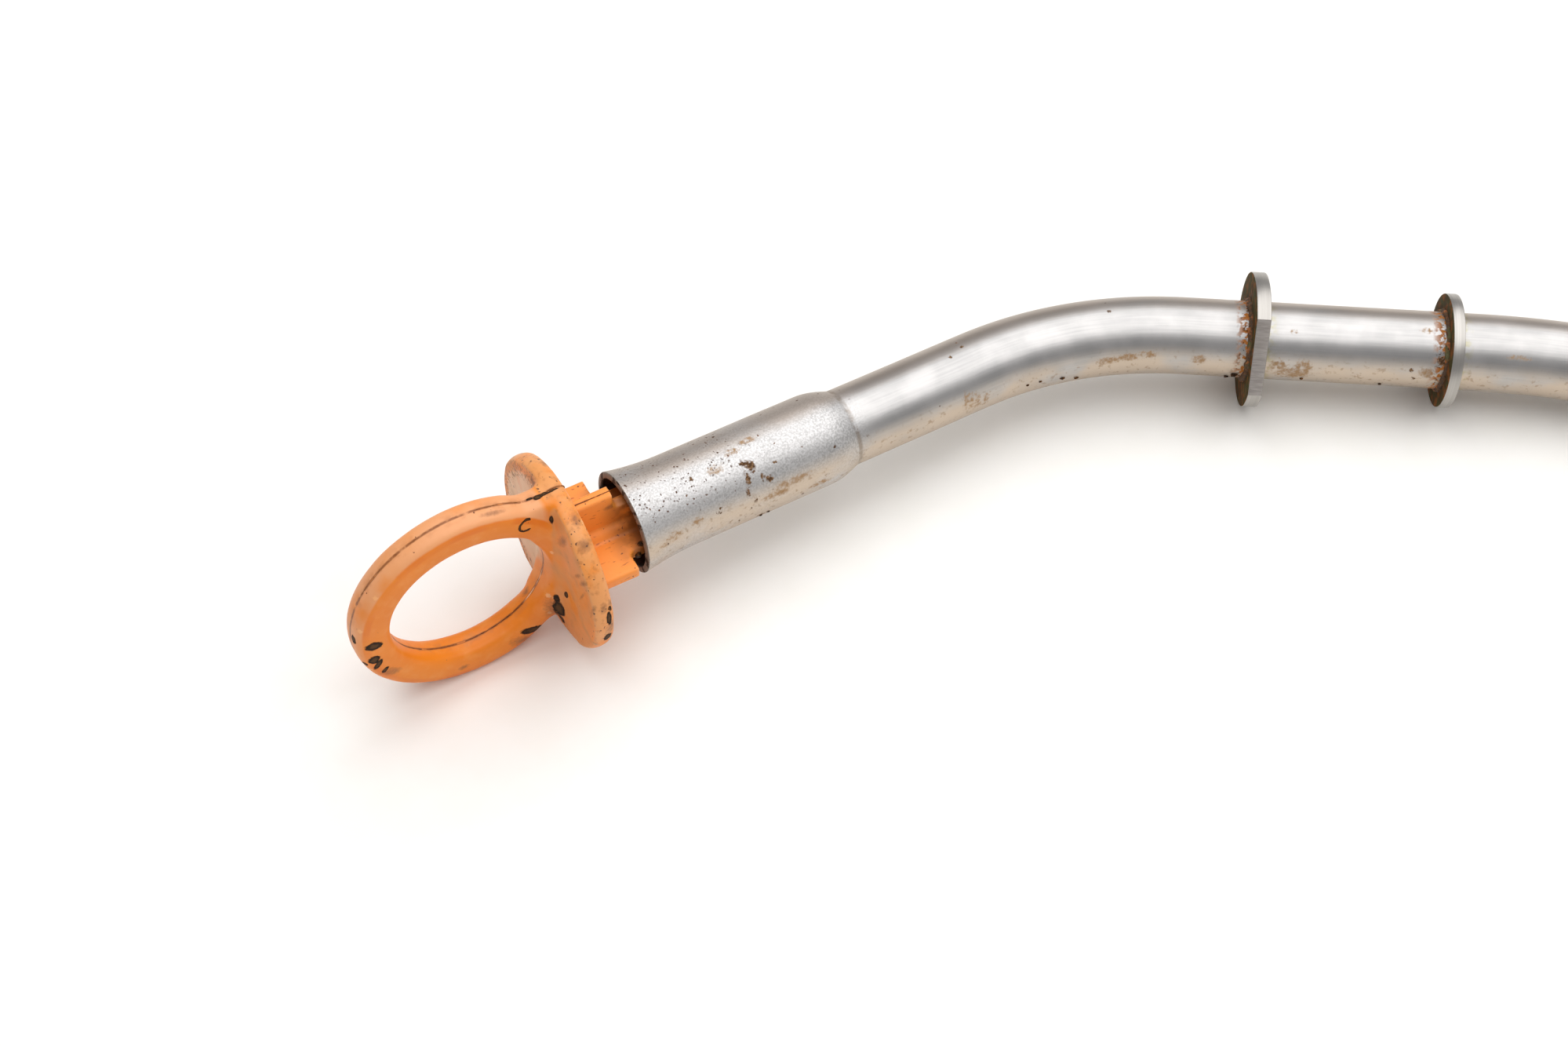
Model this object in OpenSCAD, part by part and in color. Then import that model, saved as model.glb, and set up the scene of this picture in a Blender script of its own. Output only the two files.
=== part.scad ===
// Engine oil dipstick in its guide tube. Millimetres, +Z up, lying down.
// The origin is the centre of the tube's lower end, where it enters the engine block.
// +X runs along the mouth of the tube, from the finger ring into the tube.
// Both bends lie in the XY plane and turn towards -Y.

/* [Guide tube] */
// Outer diameter of the tube
tube_od = 12; // [11:0.5:14]
// Wall thickness of the tube
tube_wall = 1; // [0.6:0.1:1.3]
// Straight length from the mouth to the first bend
mouth_run = 61; // [50:1:120]
// Centreline radius of the first bend
bend_1_r = 58; // [40:1:120]
// Angle of the first bend in degrees
bend_1_a = 34; // [10:1:60]
// Straight length between the two bends
mid_run = 45; // [43:1:120]
// Centreline radius of the second bend
bend_2_r = 130; // [60:5:200]
// Angle of the second bend in degrees
bend_2_a = 26; // [5:1:50]
// Straight length from the second bend to the lower end
end_run = 90; // [50:1:200]

/* [Bell mouth] */
// Outer diameter of the flared mouth
mouth_od = 16; // [15:0.2:18]
// Outer diameter of the bell behind the flare
bell_od = 14.3; // [13.7:0.1:14.9]
// Length of the flare
flare_len = 9; // [5:0.5:12]
// Distance from the mouth to the start of the neck
bell_len = 32; // [29:0.5:40]
// Length of the neck that narrows to the tube
neck_len = 6; // [4:0.5:9]

/* [Collars] */
// Outer diameter of the keyed collar
collar_od = 21; // [18:0.5:26]
// Thickness of the keyed collar
collar_t = 2.2; // [1.5:0.1:4]
// Distance from the first bend to the keyed collar
collar_at = 9.7; // [2:0.1:10]
// Distance from the tube's axis to the flat on the keyed collar
key_flat = 8.5; // [7.5:0.1:8.9]
// Angle of the flat's normal above the horizontal in degrees
key_turn = 27.5; // [0:0.5:90]
// Free length between the two collars, where the bracket grips
grip_len = 27.9; // [10:0.1:28]
// Outer diameter of the plain collar
stop_od = 17.7; // [16:0.1:22]
// Thickness of the plain collar
stop_t = 1.8; // [1:0.1:3]

/* [Lower end] */
// Outer diameter of the bead that stops the tube in the block
bead_od = 15.6; // [15:0.1:18]
// Width of the bead
bead_w = 3; // [2:0.1:5]
// Length of plain tube beyond the seal
spigot_len = 16; // [8:0.5:25]
// Section of the seal ring on the tube
seat_seal = 1.5; // [1.2:0.1:2]
// Height of the shoulder that carries the seal ring
shoulder = 0.3; // [0.2:0.1:0.5]

/* [Handle] */
// Outer diameter of the finger ring
ring_od = 35.5; // [30:0.5:45]
// Depth of the ring's bar, measured along its radius
bar_w = 5.5; // [4:0.1:7]
// Thickness of the ring's bar, measured across the ring
bar_t = 5.2; // [4:0.1:7]
// Squareness of the ring's bar: 2 is an ellipse, more is squarer
bar_square = 3.3; // [2:0.1:5]
// Height of the finger hole's lowest point above the flange
hole_floor = 0.8; // [0.4:0.1:2]
// Diameter of the round flange
flange_od = 30.2; // [24:0.5:36]
// Thickness of the flange
flange_t = 3.2; // [2.4:0.1:5]
// How much smaller the flange's faces are than its middle, along the radius
flange_round = 0.8; // [0.4:0.1:1.4]
// Radius of the fillets between the finger ring and the flange
root_r = 3; // [1:0.1:4]
// Turn of the handle in the tube in degrees
handle_turn = 3; // [-10:1:10]
// Gap between the stop ribs and the mouth, as the stick is not quite home
home_gap = 1.8; // [0.2:0.1:4]

/* [Plug] */
// Thickness of the plug's ribs
rib_t = 2; // [1.6:0.1:2.6]
// Distance from the axis to the outer faces of the stop ribs
stop_rib_r = 9; // [8.8:0.1:10]
// Length of the stop ribs behind the flange
stop_rib_len = 7.2; // [4:0.1:12]
// Radius of the core between the ribs
core_r = 2.6; // [2.2:0.1:3]
// Length of the guide ribs beyond the stop ribs
guide_len = 9; // [6:0.5:10]
// Clearance of the guide ribs and lands inside the bell
guide_gap = 0.35; // [0.2:0.05:0.5]
// Width of each land beside the seal groove
land_w = 1.4; // [1:0.1:1.8]
// Width of the seal groove
groove_w = 2.4; // [2:0.1:2.8]
// Depth of the seal groove
groove_d = 1.5; // [1.2:0.1:1.6]
// Radius of the nose that holds the blade
nose_r = 4; // [3.4:0.1:4.2]
// Length of the nose, taper included
nose_len = 9; // [7:0.5:10]
// Diameter of the cross pin that holds the blade
pin_d = 1.6; // [1.2:0.1:2]

/* [Blade] */
// Width of the blade
blade_w = 5; // [4:0.1:5.6]
// Thickness of the blade
blade_t = 0.8; // [0.5:0.1:1]
// Length of blade that stands out of the tube's lower end
blade_out = 80; // [40:5:150]
// Diameter of the two level holes
level_d = 2; // [1:0.1:2.5]
// Distance from the blade's tip to the low level hole
level_low = 12; // [6:1:18]
// Distance between the two level holes
level_gap = 20; // [8:1:22]

/* [Hidden] */
$fn = 96;
tube_r = tube_od / 2;
bore_r = tube_r - tube_wall;
bell_bore_r = bell_od / 2 - tube_wall;
bead_at = end_run - spigot_len - seat_seal - bead_w;
mark_hole_fn = 32;
// Running clearance of the plug's seal ring inside the bell
seal_gap = 0.05;
// How far the pin's ends lie below the nose's surface
pin_inset = 0.15;
// Squareness of the seal rings' sections, which are pressed a little flat
seal_square = 3;
// Steps in each curved part of a revolved outline
curve_steps = 8;
// Bevel inside the tube's lower end
end_bevel = 0.3;
// How far a cutting shape runs past what it cuts
over = 1;
// How far each straight stretch runs into the bend beside it
lap = 0.5;
// How much fuller a bend is than a straight stretch, on each side
proud = 0.02;
flange_back = -home_gap - stop_rib_len;
flange_front = flange_back - flange_t;
ring_r = (ring_od - bar_w) / 2;
ring_at = flange_front - hole_floor - (ring_r - bar_w / 2);
land_r = bell_bore_r - guide_gap;
land_at = -home_gap + guide_len;
groove_at = land_at + land_w;
nose_at = groove_at + groove_w + land_w;
nose_end = nose_at + nose_len;
pin_at = nose_end - nose_len / 3;
blade_root = pin_at - nose_len;
groove_r = land_r - groove_d;
leg_2 = bend_1_a;
leg_3 = bend_1_a + bend_2_a;
// Place of the lower end, counted from the middle of the mouth
end_x = mouth_run + bend_1_r * sin(leg_2) + mid_run * cos(leg_2)
      + bend_2_r * (sin(leg_3) - sin(leg_2)) + end_run * cos(leg_3);
end_y = -bend_1_r * (1 - cos(leg_2)) - mid_run * sin(leg_2)
      - bend_2_r * (cos(leg_2) - cos(leg_3)) - end_run * sin(leg_3);

function signed_power(v, p) = sign(v) * pow(abs(v), p);
// A rounded oblong of half sizes a and b: 2 is an ellipse, more is squarer
function oblong(a, b, squareness, steps) =
    [for (i = [0:steps - 1]) let (t = 360 * (i + 0.5) / steps)
        [a * signed_power(cos(t), 2 / squareness), b * signed_power(sin(t), 2 / squareness)]];
// Half of a cosine wave from 1 down to 0 as u goes from 0 to 1
function ease(u) = (1 + cos(180 * u)) / 2;

// Frames along the tube, each with +X along its stretch
module from_mouth() translate([-end_x, -end_y, 0]) children();
module past_bend(r, a) translate([r * sin(a), -r * (1 - cos(a)), 0]) rotate([0, 0, -a]) children();
module from_bend_1() from_mouth() translate([mouth_run, 0, 0]) children();
module from_mid() from_bend_1() past_bend(bend_1_r, bend_1_a) children();
module from_bend_2() from_mid() translate([mid_run, 0, 0]) children();
module from_end_run() from_bend_2() past_bend(bend_2_r, bend_2_a) children();
// Sweeps a flat section, drawn as [across, up], round a bend
module bent(r, a) translate([0, -r, 0]) rotate([0, 0, 90 - a])
    rotate_extrude(angle = a) translate([r, 0]) children();
// Turns an outline of [radius, distance along X] round the X axis
module turned_on_x() rotate([0, 90, 0]) rotate_extrude() children();
module in_handle() from_mouth() rotate([handle_turn, 0, 0]) children();

// Outer radius of the bell mouth, x from the mouth
function flare_r(u) = bell_od / 2 + (mouth_od - bell_od) / 2 * pow(1 - u, 2);
bell_curve = concat(
    [for (i = [0:curve_steps]) let (u = i / curve_steps) [flare_r(u), flare_len * u]],
    [for (i = [0:curve_steps]) let (u = i / curve_steps)
        [tube_r + (bell_od / 2 - tube_r) * ease(u), bell_len + neck_len * u]],
    [[tube_r, mouth_run + lap]]);
function inner_side(curve) = [for (i = [len(curve) - 1:-1:0]) [curve[i][0] - tube_wall, curve[i][1]]];
// The bead, a rolled bulge with a straight bore behind it, and the shoulder that carries the seal ring
shoulder_r = tube_r + shoulder;
seal_at = bead_at + bead_w;
bead_curve = concat(
    [for (i = [0:2 * curve_steps - 1]) let (u = i / curve_steps - 1)
        [tube_r + (bead_od / 2 - tube_r) * sqrt(max(0, 1 - u * u)), bead_at + bead_w * (1 + u) / 2]],
    [[shoulder_r, seal_at], [shoulder_r, seal_at + seat_seal], [tube_r, seal_at + seat_seal]]);

module straight_tube(run) translate([-lap, 0, 0]) rotate([0, 90, 0]) difference() {
    cylinder(h = run + 2 * lap, r = tube_r);
    translate([0, 0, -over]) cylinder(h = run + 2 * (lap + over), r = bore_r);
}
module bent_tube(r, a) difference() {
    bent(r, a) circle(tube_r + proud);
    bent(r, a) circle(bore_r - proud);
}
module bent_blade(r, a) bent(r, a) square([blade_t + 2 * proud, blade_w + 2 * proud], center = true);

module guide_tube() color("silver") {
    from_mouth() turned_on_x() polygon(concat(bell_curve, inner_side(bell_curve)));
    from_bend_1() bent_tube(bend_1_r, bend_1_a);
    from_mid() straight_tube(mid_run);
    from_bend_2() bent_tube(bend_2_r, bend_2_a);
    from_end_run() turned_on_x() polygon(concat(
        [[bore_r, -lap], [tube_r, -lap]], bead_curve, [[tube_r, end_run],
        [bore_r + end_bevel, end_run], [bore_r, end_run - end_bevel]]));
}

module washer(od, t) rotate([0, 90, 0]) difference() {
    cylinder(h = t, d = od);
    translate([0, 0, -over]) cylinder(h = t + 2 * over, r = tube_r);
}

module keyed_collar() color("tan") from_mid() translate([collar_at, 0, 0]) difference() {
    washer(collar_od, collar_t);
    rotate([-key_turn, 0, 0]) translate([-over, -collar_od - key_flat, -collar_od])
        cube([collar_t + 2 * over, collar_od, 2 * collar_od]);
}

module plain_collar() color("lightgray")
    from_mid() translate([collar_at + collar_t + grip_len, 0, 0]) washer(stop_od, stop_t);

module seat_seal_ring() color("dimgray")
    from_end_run() turned_on_x() translate([shoulder_r + seat_seal / 2, seal_at + seat_seal / 2])
        polygon(oblong(seat_seal / 2, seat_seal / 2, seal_square, 4 * curve_steps));

module finger_ring() intersection() {
    translate([ring_at, 0, 0]) rotate([90, 0, 0]) rotate_extrude()
        translate([ring_r, 0]) polygon(oblong(bar_w / 2, bar_t / 2, bar_square, 4 * curve_steps));
    translate([ring_at - ring_od, -ring_od, -ring_od])
        cube([flange_back - flange_t / 3 - ring_at + ring_od, 2 * ring_od, 2 * ring_od]);
}

// The flange, with its edge rounded from face to face
edge_curve = [for (i = [0:2 * curve_steps]) let (t = 90 - 180 * i / (2 * curve_steps))
    [flange_od / 2 - flange_round * (1 - cos(t)), (flange_back + flange_front) / 2 - flange_t / 2 * sin(t)]];
module flange() turned_on_x() polygon(concat([[0, flange_front]], edge_curve, [[0, flange_back]]));

// Hollow fillets between the flange's front face and both sides of the finger ring
fillet_curve = [for (i = [0:curve_steps]) let (t = 90 * i / curve_steps)
    [flange_front - root_r * (1 - cos(t)), bar_t / 2 + root_r * (1 - sin(t))]];
module across_ring(r) translate([ring_at, 0, 0]) rotate([90, 0, 0])
    cylinder(h = 2 * ring_od, r = r, center = true);
module root_fillets() difference() {
    intersection() {
        for (side = [0, 1]) mirror([0, side, 0]) translate([0, 0, -ring_r]) linear_extrude(2 * ring_r)
            polygon(concat([[flange_front - root_r, 0], [flange_back - flange_t / 3, 0],
                [flange_back - flange_t / 3, bar_t / 2 + root_r]], fillet_curve));
        across_ring(ring_r + bar_w / 4);
    }
    across_ring(ring_r - bar_w / 2);
}

module cross_ribs(r, x_low, x_high) for (turn = [0, 90]) rotate([turn, 0, 0])
    translate([x_low, -r, -rib_t / 2]) cube([x_high - x_low, 2 * r, rib_t]);

module plug_core() turned_on_x() polygon([
    [0, flange_back - flange_t / 2], [core_r, flange_back - flange_t / 2], [core_r, land_at],
    [land_r, land_at], [land_r, groove_at], [groove_r, groove_at], [groove_r, groove_at + groove_w],
    [land_r, groove_at + groove_w], [land_r, nose_at], [nose_r, nose_at + land_w],
    [nose_r, nose_end - over], [nose_r - over, nose_end], [0, nose_end]]);

module pin_hole() translate([pin_at, 0, 0]) rotate([90, 0, 0])
    cylinder(h = 3 * nose_r, d = pin_d, center = true, $fn = mark_hole_fn);

module handle() color("darkorange") difference() {
    in_handle() {
        finger_ring();
        root_fillets();
        flange();
        cross_ribs(stop_rib_r, flange_back - flange_t / 3, -home_gap);
        cross_ribs(land_r, -home_gap - over, land_at + land_w / 2);
        plug_core();
    }
    from_mouth() {
        translate([blade_root, -blade_t / 2, -blade_w / 2]) cube([nose_end, blade_t, blade_w]);
        pin_hole();
    }
}

module plug_seal_ring() color("black") from_mouth() turned_on_x()
    translate([(groove_r + bell_bore_r - seal_gap) / 2, groove_at + groove_w / 2])
        polygon(oblong((bell_bore_r - seal_gap - groove_r) / 2, groove_w / 2 - seal_gap, seal_square,
            4 * curve_steps));

// A straight stretch of blade: its width is along Z, so it bends across its thickness
module blade_strip(x_low, x_high) translate([x_low, -blade_t / 2, -blade_w / 2])
    cube([x_high - x_low, blade_t, blade_w]);

module through_blade(x) translate([x, 0, 0]) rotate([90, 0, 0])
    cylinder(h = blade_t + 2 * over, d = level_d, center = true, $fn = mark_hole_fn);

module dipstick_blade() color("gray") {
    tip_at = end_run + blade_out;
    from_mouth() difference() { blade_strip(blade_root, mouth_run + lap); pin_hole(); }
    from_bend_1() bent_blade(bend_1_r, bend_1_a);
    from_mid() blade_strip(-lap, mid_run + lap);
    from_bend_2() bent_blade(bend_2_r, bend_2_a);
    from_end_run() difference() {
        union() {
            blade_strip(-lap, tip_at - blade_w / 2);
            translate([tip_at - blade_w / 2, blade_t / 2, 0]) rotate([90, 0, 0])
                cylinder(h = blade_t, d = blade_w);
        }
        through_blade(tip_at - level_low);
        through_blade(tip_at - level_low - level_gap);
    }
}

module blade_pin() color("gainsboro") from_mouth() translate([pin_at, 0, 0]) rotate([90, 0, 0])
    cylinder(h = 2 * (nose_r - pin_inset) - 2 * pin_inset, d = pin_d, center = true, $fn = mark_hole_fn);

guide_tube();
keyed_collar();
plain_collar();
seat_seal_ring();
handle();
plug_seal_ring();
dipstick_blade();
blade_pin();
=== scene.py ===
import math

import bpy
import numpy
from mathutils import Euler, Matrix, Vector


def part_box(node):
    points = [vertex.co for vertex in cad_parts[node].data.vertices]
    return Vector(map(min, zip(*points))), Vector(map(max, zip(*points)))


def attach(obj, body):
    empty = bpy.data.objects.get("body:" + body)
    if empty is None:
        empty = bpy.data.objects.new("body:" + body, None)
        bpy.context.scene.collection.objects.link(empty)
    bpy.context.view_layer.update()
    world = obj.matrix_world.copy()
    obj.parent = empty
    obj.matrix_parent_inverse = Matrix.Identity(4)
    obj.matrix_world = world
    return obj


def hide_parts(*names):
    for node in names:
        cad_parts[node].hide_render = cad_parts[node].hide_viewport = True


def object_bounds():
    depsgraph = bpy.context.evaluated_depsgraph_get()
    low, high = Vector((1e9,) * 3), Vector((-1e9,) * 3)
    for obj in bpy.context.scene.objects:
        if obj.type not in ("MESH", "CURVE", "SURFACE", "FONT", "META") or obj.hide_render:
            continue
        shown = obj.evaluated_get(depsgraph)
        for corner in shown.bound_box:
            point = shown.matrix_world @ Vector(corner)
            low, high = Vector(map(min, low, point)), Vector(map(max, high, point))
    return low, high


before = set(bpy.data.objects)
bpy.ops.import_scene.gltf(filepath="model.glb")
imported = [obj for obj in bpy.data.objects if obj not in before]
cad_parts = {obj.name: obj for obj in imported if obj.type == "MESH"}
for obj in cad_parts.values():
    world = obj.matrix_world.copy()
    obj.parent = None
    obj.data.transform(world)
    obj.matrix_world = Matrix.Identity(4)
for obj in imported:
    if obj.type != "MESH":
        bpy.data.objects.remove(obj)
cad_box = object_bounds()

MM = 0.001
X, Y, Z = Vector((1, 0, 0)), Vector((0, 1, 0)), Vector((0, 0, 1))

# The guide tube, as in the part's source
TUBE_R = 6 * MM
TUBE_WALL = 1 * MM
MOUTH_R = 8 * MM
BELL_R = 7.15 * MM
FLARE_LEN = 9 * MM
BELL_LEN = 32 * MM
NECK_LEN = 5 * MM
MOUTH_RUN = 61 * MM
BEND_1_R = 58 * MM
BEND_1_A = math.radians(34)
MID_RUN = 45 * MM
BEND_2_R = 130 * MM
BEND_2_A = math.radians(26)
END_RUN = 90 * MM
BEAD_R = 7.8 * MM
BEAD_W = 3 * MM
BEAD_AT = 69.5 * MM
SHOULDER_R = 6.3 * MM
SHOULDER_END = 74 * MM

# The collars, along the straight run between the bends
COLLAR_AT = 9.7 * MM
COLLAR_T = 2.2 * MM
STOP_AT = 39.8 * MM

# The handle, along the mouth's axis
HANDLE_TURN = math.radians(3)
FLANGE_FRONT = -12.2 * MM
FLANGE_BACK = -9 * MM
FLANGE_R = 15.1 * MM
FLANGE_ROUND = 0.8 * MM
RING_AT = -25.25 * MM
RING_OUTER = 17.75 * MM
RING_INNER = 12.25 * MM
RIB_END = -1.8 * MM
RIB_R = 9 * MM


def heading(angle):
    """The tube's direction after it has turned by angle towards -Y."""
    return Vector((math.cos(angle), -math.sin(angle), 0))


def past_bend(start, before, after, radius):
    """Where a bend that begins at start with one heading ends with another."""
    middle = start - radius * Vector((math.sin(before), math.cos(before), 0))
    return middle + radius * Vector((math.sin(after), math.cos(after), 0))


tube_low, tube_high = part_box("guide_tube")
MOUTH = Vector((tube_low.x, tube_high.y - MOUTH_R, 0))
BEND_1 = MOUTH + MOUTH_RUN * X
MID = past_bend(BEND_1, 0, BEND_1_A, BEND_1_R)
BEND_2 = MID + MID_RUN * heading(BEND_1_A)
END_TURN = BEND_1_A + BEND_2_A
END = past_bend(BEND_2, BEND_1_A, END_TURN, BEND_2_R)


# Modelling steps
def deselect():
    if bpy.context.mode != "OBJECT":
        bpy.ops.object.mode_set(mode="OBJECT")
    bpy.ops.object.select_all(action="DESELECT")


def placed(name):
    """Names the new primitive and puts its place into its mesh."""
    piece = bpy.context.object
    piece.name = piece.data.name = name
    bpy.ops.object.transform_apply(location=True, rotation=True, scale=True)
    return piece


def select_where(piece, test):
    """Leaves the piece in edit mode with those vertices selected that pass the test."""
    bpy.ops.object.mode_set(mode="OBJECT")
    mesh = piece.data
    for item in [*mesh.vertices, *mesh.edges, *mesh.polygons]:
        item.select = False
    for vertex in mesh.vertices:
        vertex.select = test(vertex.co)
    bpy.ops.object.mode_set(mode="EDIT")
    bpy.ops.mesh.select_mode(type="VERT")


def only(piece):
    deselect()
    piece.select_set(True)
    bpy.context.view_layer.objects.active = piece


def finish_with(piece, kind, **settings):
    """Adds a modifier to the piece and applies it."""
    only(piece)
    modifier = piece.modifiers.new(kind.lower(), kind)
    for name, value in settings.items():
        setattr(modifier, name, value)
    bpy.ops.object.modifier_apply(modifier=modifier.name)


MORE_OFF_THAN_ON = 0.65


def uneven(piece, grain, depth):
    """Makes the surface a little uneven, with bumps as wide as grain that take off more than they add."""
    clouds = bpy.data.textures.new(f"{piece.name}_unevenness", "CLOUDS")
    clouds.noise_scale = grain
    finish_with(piece, "DISPLACE", texture=clouds, texture_coords="LOCAL", strength=depth,
                mid_level=MORE_OFF_THAN_ON)


def smooth(piece, angle=40):
    only(piece)
    bpy.ops.object.shade_smooth_by_angle(angle=math.radians(angle))


def copied(node, name):
    """A merged copy of a CAD node's mesh, as a piece of its own."""
    deselect()
    piece = bpy.data.objects.new(name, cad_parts[node].data.copy())
    piece.data.name = name
    piece.data.materials.clear()
    bpy.context.scene.collection.objects.link(piece)
    only(piece)
    bpy.ops.mesh.customdata_custom_splitnormals_clear()
    bpy.ops.object.mode_set(mode="EDIT")
    bpy.ops.mesh.select_all(action="SELECT")
    bpy.ops.mesh.remove_doubles(threshold=0.002 * MM)
    bpy.ops.object.mode_set(mode="OBJECT")
    return piece


def remember_marks(piece, name, places):
    """Keeps how deep each point lies in the nearest mark: 1 in its middle, 0 on its edge, less outside."""
    points = numpy.empty(3 * len(piece.data.vertices))
    piece.data.vertices.foreach_get("co", points)
    points = numpy.column_stack([points.reshape(-1, 3), numpy.ones(len(points) // 3)])
    depth = numpy.full(len(points), -1.0)
    for place in places:
        local = points @ numpy.array(place.inverted()).T
        depth = numpy.maximum(depth, 1 - numpy.linalg.norm(local[:, :3], axis=1))
    piece.data.attributes.new(name, "FLOAT", "POINT").data.foreach_set("value", depth)


def joined(name, pieces):
    deselect()
    for piece in pieces:
        piece.select_set(True)
    bpy.context.view_layer.objects.active = pieces[0]
    if len(pieces) > 1:
        bpy.ops.object.join()
    pieces[0].name = pieces[0].data.name = name
    return pieces[0]


# Guide tube
TUBE_SIDES = 112
STEP = 0.5 * MM
BEND_1_STEPS = 68
BEND_2_STEPS = 40
SHOULDER_DROP = 0.05 * MM
MERGE_WITHIN = 0.005 * MM
RIM_BREAK = 0.14 * MM
STEEL, BORE, RIM = 0, 1, 2  # The tube's material slots


def bell_radius(x):
    """Outer radius of the mouth run, x from the mouth. The neck rounds down to a crease."""
    if x < FLARE_LEN:
        return BELL_R + (MOUTH_R - BELL_R) * (1 - x / FLARE_LEN) ** 2
    if x < BELL_LEN:
        return BELL_R
    if x < BELL_LEN + NECK_LEN:
        return TUBE_R + (BELL_R - TUBE_R) * math.cos(math.pi / 2 * (x - BELL_LEN) / NECK_LEN)
    return TUBE_R


def end_radius(x):
    """Outer radius of the lower run, x from the second bend."""
    across = (x - BEAD_AT) / BEAD_W
    if 0 < across < 1:
        return TUBE_R + (BEAD_R - TUBE_R) * math.sqrt(1 - (2 * across - 1) ** 2)
    if 1 <= across and x <= SHOULDER_END:
        return SHOULDER_R
    return TUBE_R


def draw_out(start, direction, stops, radius_at):
    """Extrudes the open ring of edges from stop to stop along a straight run, and widens it to suit."""
    for near, far in zip(stops, stops[1:]):
        bpy.ops.mesh.extrude_region_move(TRANSFORM_OT_translate={"value": direction * abs(far - near)})
        share = radius_at(far) / radius_at(near)
        if abs(share - 1) > 1e-6:
            bpy.ops.transform.resize(value=(share, share, 1) if direction.z else (share, share, share),
                                     center_override=start + direction * abs(far - stops[0]))


def stops_between(low, high, step):
    count = max(1, round(abs(high - low) / step))
    return [low + (high - low) * i / count for i in range(count + 1)]


def straightened(point):
    """A point of the tube as it lay before bending: distance along it from the mouth, then across and up."""
    if point.x < BEND_1.x:
        return Vector((point.x - MOUTH.x, point.y - MOUTH.y, point.z))
    length = MOUTH_RUN
    for start, turned, radius, turn, run in ((BEND_1, 0, BEND_1_R, BEND_1_A, MID_RUN),
                                             (BEND_2, BEND_1_A, BEND_2_R, BEND_2_A, END_RUN)):
        middle = start - radius * Vector((math.sin(turned), math.cos(turned), 0))
        arm = point - middle
        angle = math.atan2(arm.x, arm.y) - turned
        if angle < turn:
            return Vector((length + radius * max(angle, 0), math.hypot(arm.x, arm.y) - radius, point.z))
        after = past_bend(start, turned, turned + turn, radius)
        way = heading(turned + turn)
        along = (point - after).dot(way)
        length += radius * turn
        if along < run:
            across = (point - after).dot(Vector((-way.y, way.x, 0)))
            return Vector((length + along, across, point.z))
        length += run
    across = (point - after).dot(Vector((-way.y, way.x, 0)))
    return Vector((length, across, point.z))


def remember_straight(piece):
    """Keeps each point's place in the straight tube, for patterns that follow the drawing direction."""
    straight = piece.data.attributes.new("straight", "FLOAT_VECTOR", "POINT")
    for vertex in piece.data.vertices:
        straight.data[vertex.index].vector = straightened(vertex.co)


def guide_tube():
    """The bent tube: the mouth is drawn out one way from the first bend and the rest the other way."""
    deselect()
    bpy.ops.mesh.primitive_circle_add(vertices=TUBE_SIDES, radius=TUBE_R, location=BEND_1,
                                      rotation=(0, math.pi / 2, 0))
    tube = placed("guide_tube_drawn")
    bpy.ops.object.mode_set(mode="EDIT")
    bpy.ops.mesh.select_all(action="SELECT")
    mouth_stops = stops_between(MOUTH_RUN, 0, STEP)
    draw_out(BEND_1, -X, mouth_stops, bell_radius)
    select_where(tube, lambda p: abs(p.x - BEND_1.x) < 0.01 * MM)
    bpy.ops.mesh.spin(steps=BEND_1_STEPS, angle=BEND_1_A, center=BEND_1 - BEND_1_R * Y, axis=Z)
    draw_out(MID, heading(BEND_1_A), stops_between(0, MID_RUN, 1.5 * STEP), lambda x: TUBE_R)
    middle_2 = BEND_2 - BEND_2_R * Vector((math.sin(BEND_1_A), math.cos(BEND_1_A), 0))
    bpy.ops.mesh.spin(steps=BEND_2_STEPS, angle=BEND_2_A, center=middle_2, axis=Z)
    end_stops = [*stops_between(0, BEAD_AT, 6 * STEP),
                 *stops_between(BEAD_AT, BEAD_AT + BEAD_W, STEP / 2)[1:],
                 SHOULDER_END, SHOULDER_END + SHOULDER_DROP,
                 *stops_between(SHOULDER_END + STEP, END_RUN, 6 * STEP)]
    draw_out(END, heading(END_TURN), end_stops, end_radius)
    bpy.ops.mesh.select_all(action="SELECT")
    bpy.ops.mesh.remove_doubles(threshold=MERGE_WITHIN)
    bpy.ops.mesh.normals_make_consistent(inside=False)
    bpy.ops.object.mode_set(mode="OBJECT")
    for made in (drawn_steel(), oily_bore(), cut_steel()):
        tube.data.materials.append(made)
    finish_with(tube, "SOLIDIFY", thickness=TUBE_WALL, offset=-1, use_even_offset=True,
                material_offset=BORE - STEEL, material_offset_rim=RIM - STEEL)
    finish_with(tube, "BEVEL", width=RIM_BREAK, segments=2, limit_method="ANGLE",
                angle_limit=math.radians(60), material=RIM)
    uneven(tube, 9 * MM, 0.05 * MM)
    remember_straight(tube)
    smooth(tube)
    return tube


# Collars
COLLAR_BREAK = 0.16 * MM
KEY_FLAT_NORMAL = (-0.496, -0.735, 0.462)


def collar(node, name):
    """A turned collar with its sharp edges broken."""
    piece = copied(node, name)
    finish_with(piece, "BEVEL", width=COLLAR_BREAK, segments=2, limit_method="ANGLE",
                angle_limit=math.radians(50))
    smooth(piece, 30)
    return piece


def braze(name, along, thickness):
    """The uneven bead of braze and rust in the corner between a collar's face and the tube."""
    deselect()
    bpy.ops.mesh.primitive_torus_add(location=MID + heading(BEND_1_A) * along,
                                     rotation=(0, math.pi / 2, -BEND_1_A), major_segments=160,
                                     minor_segments=14, major_radius=TUBE_R, minor_radius=thickness)
    bead = placed(name)
    uneven(bead, 1.6 * MM, 0.9 * thickness)
    uneven(bead, 0.5 * MM, 0.35 * thickness)
    smooth(bead, 180)
    return bead


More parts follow.
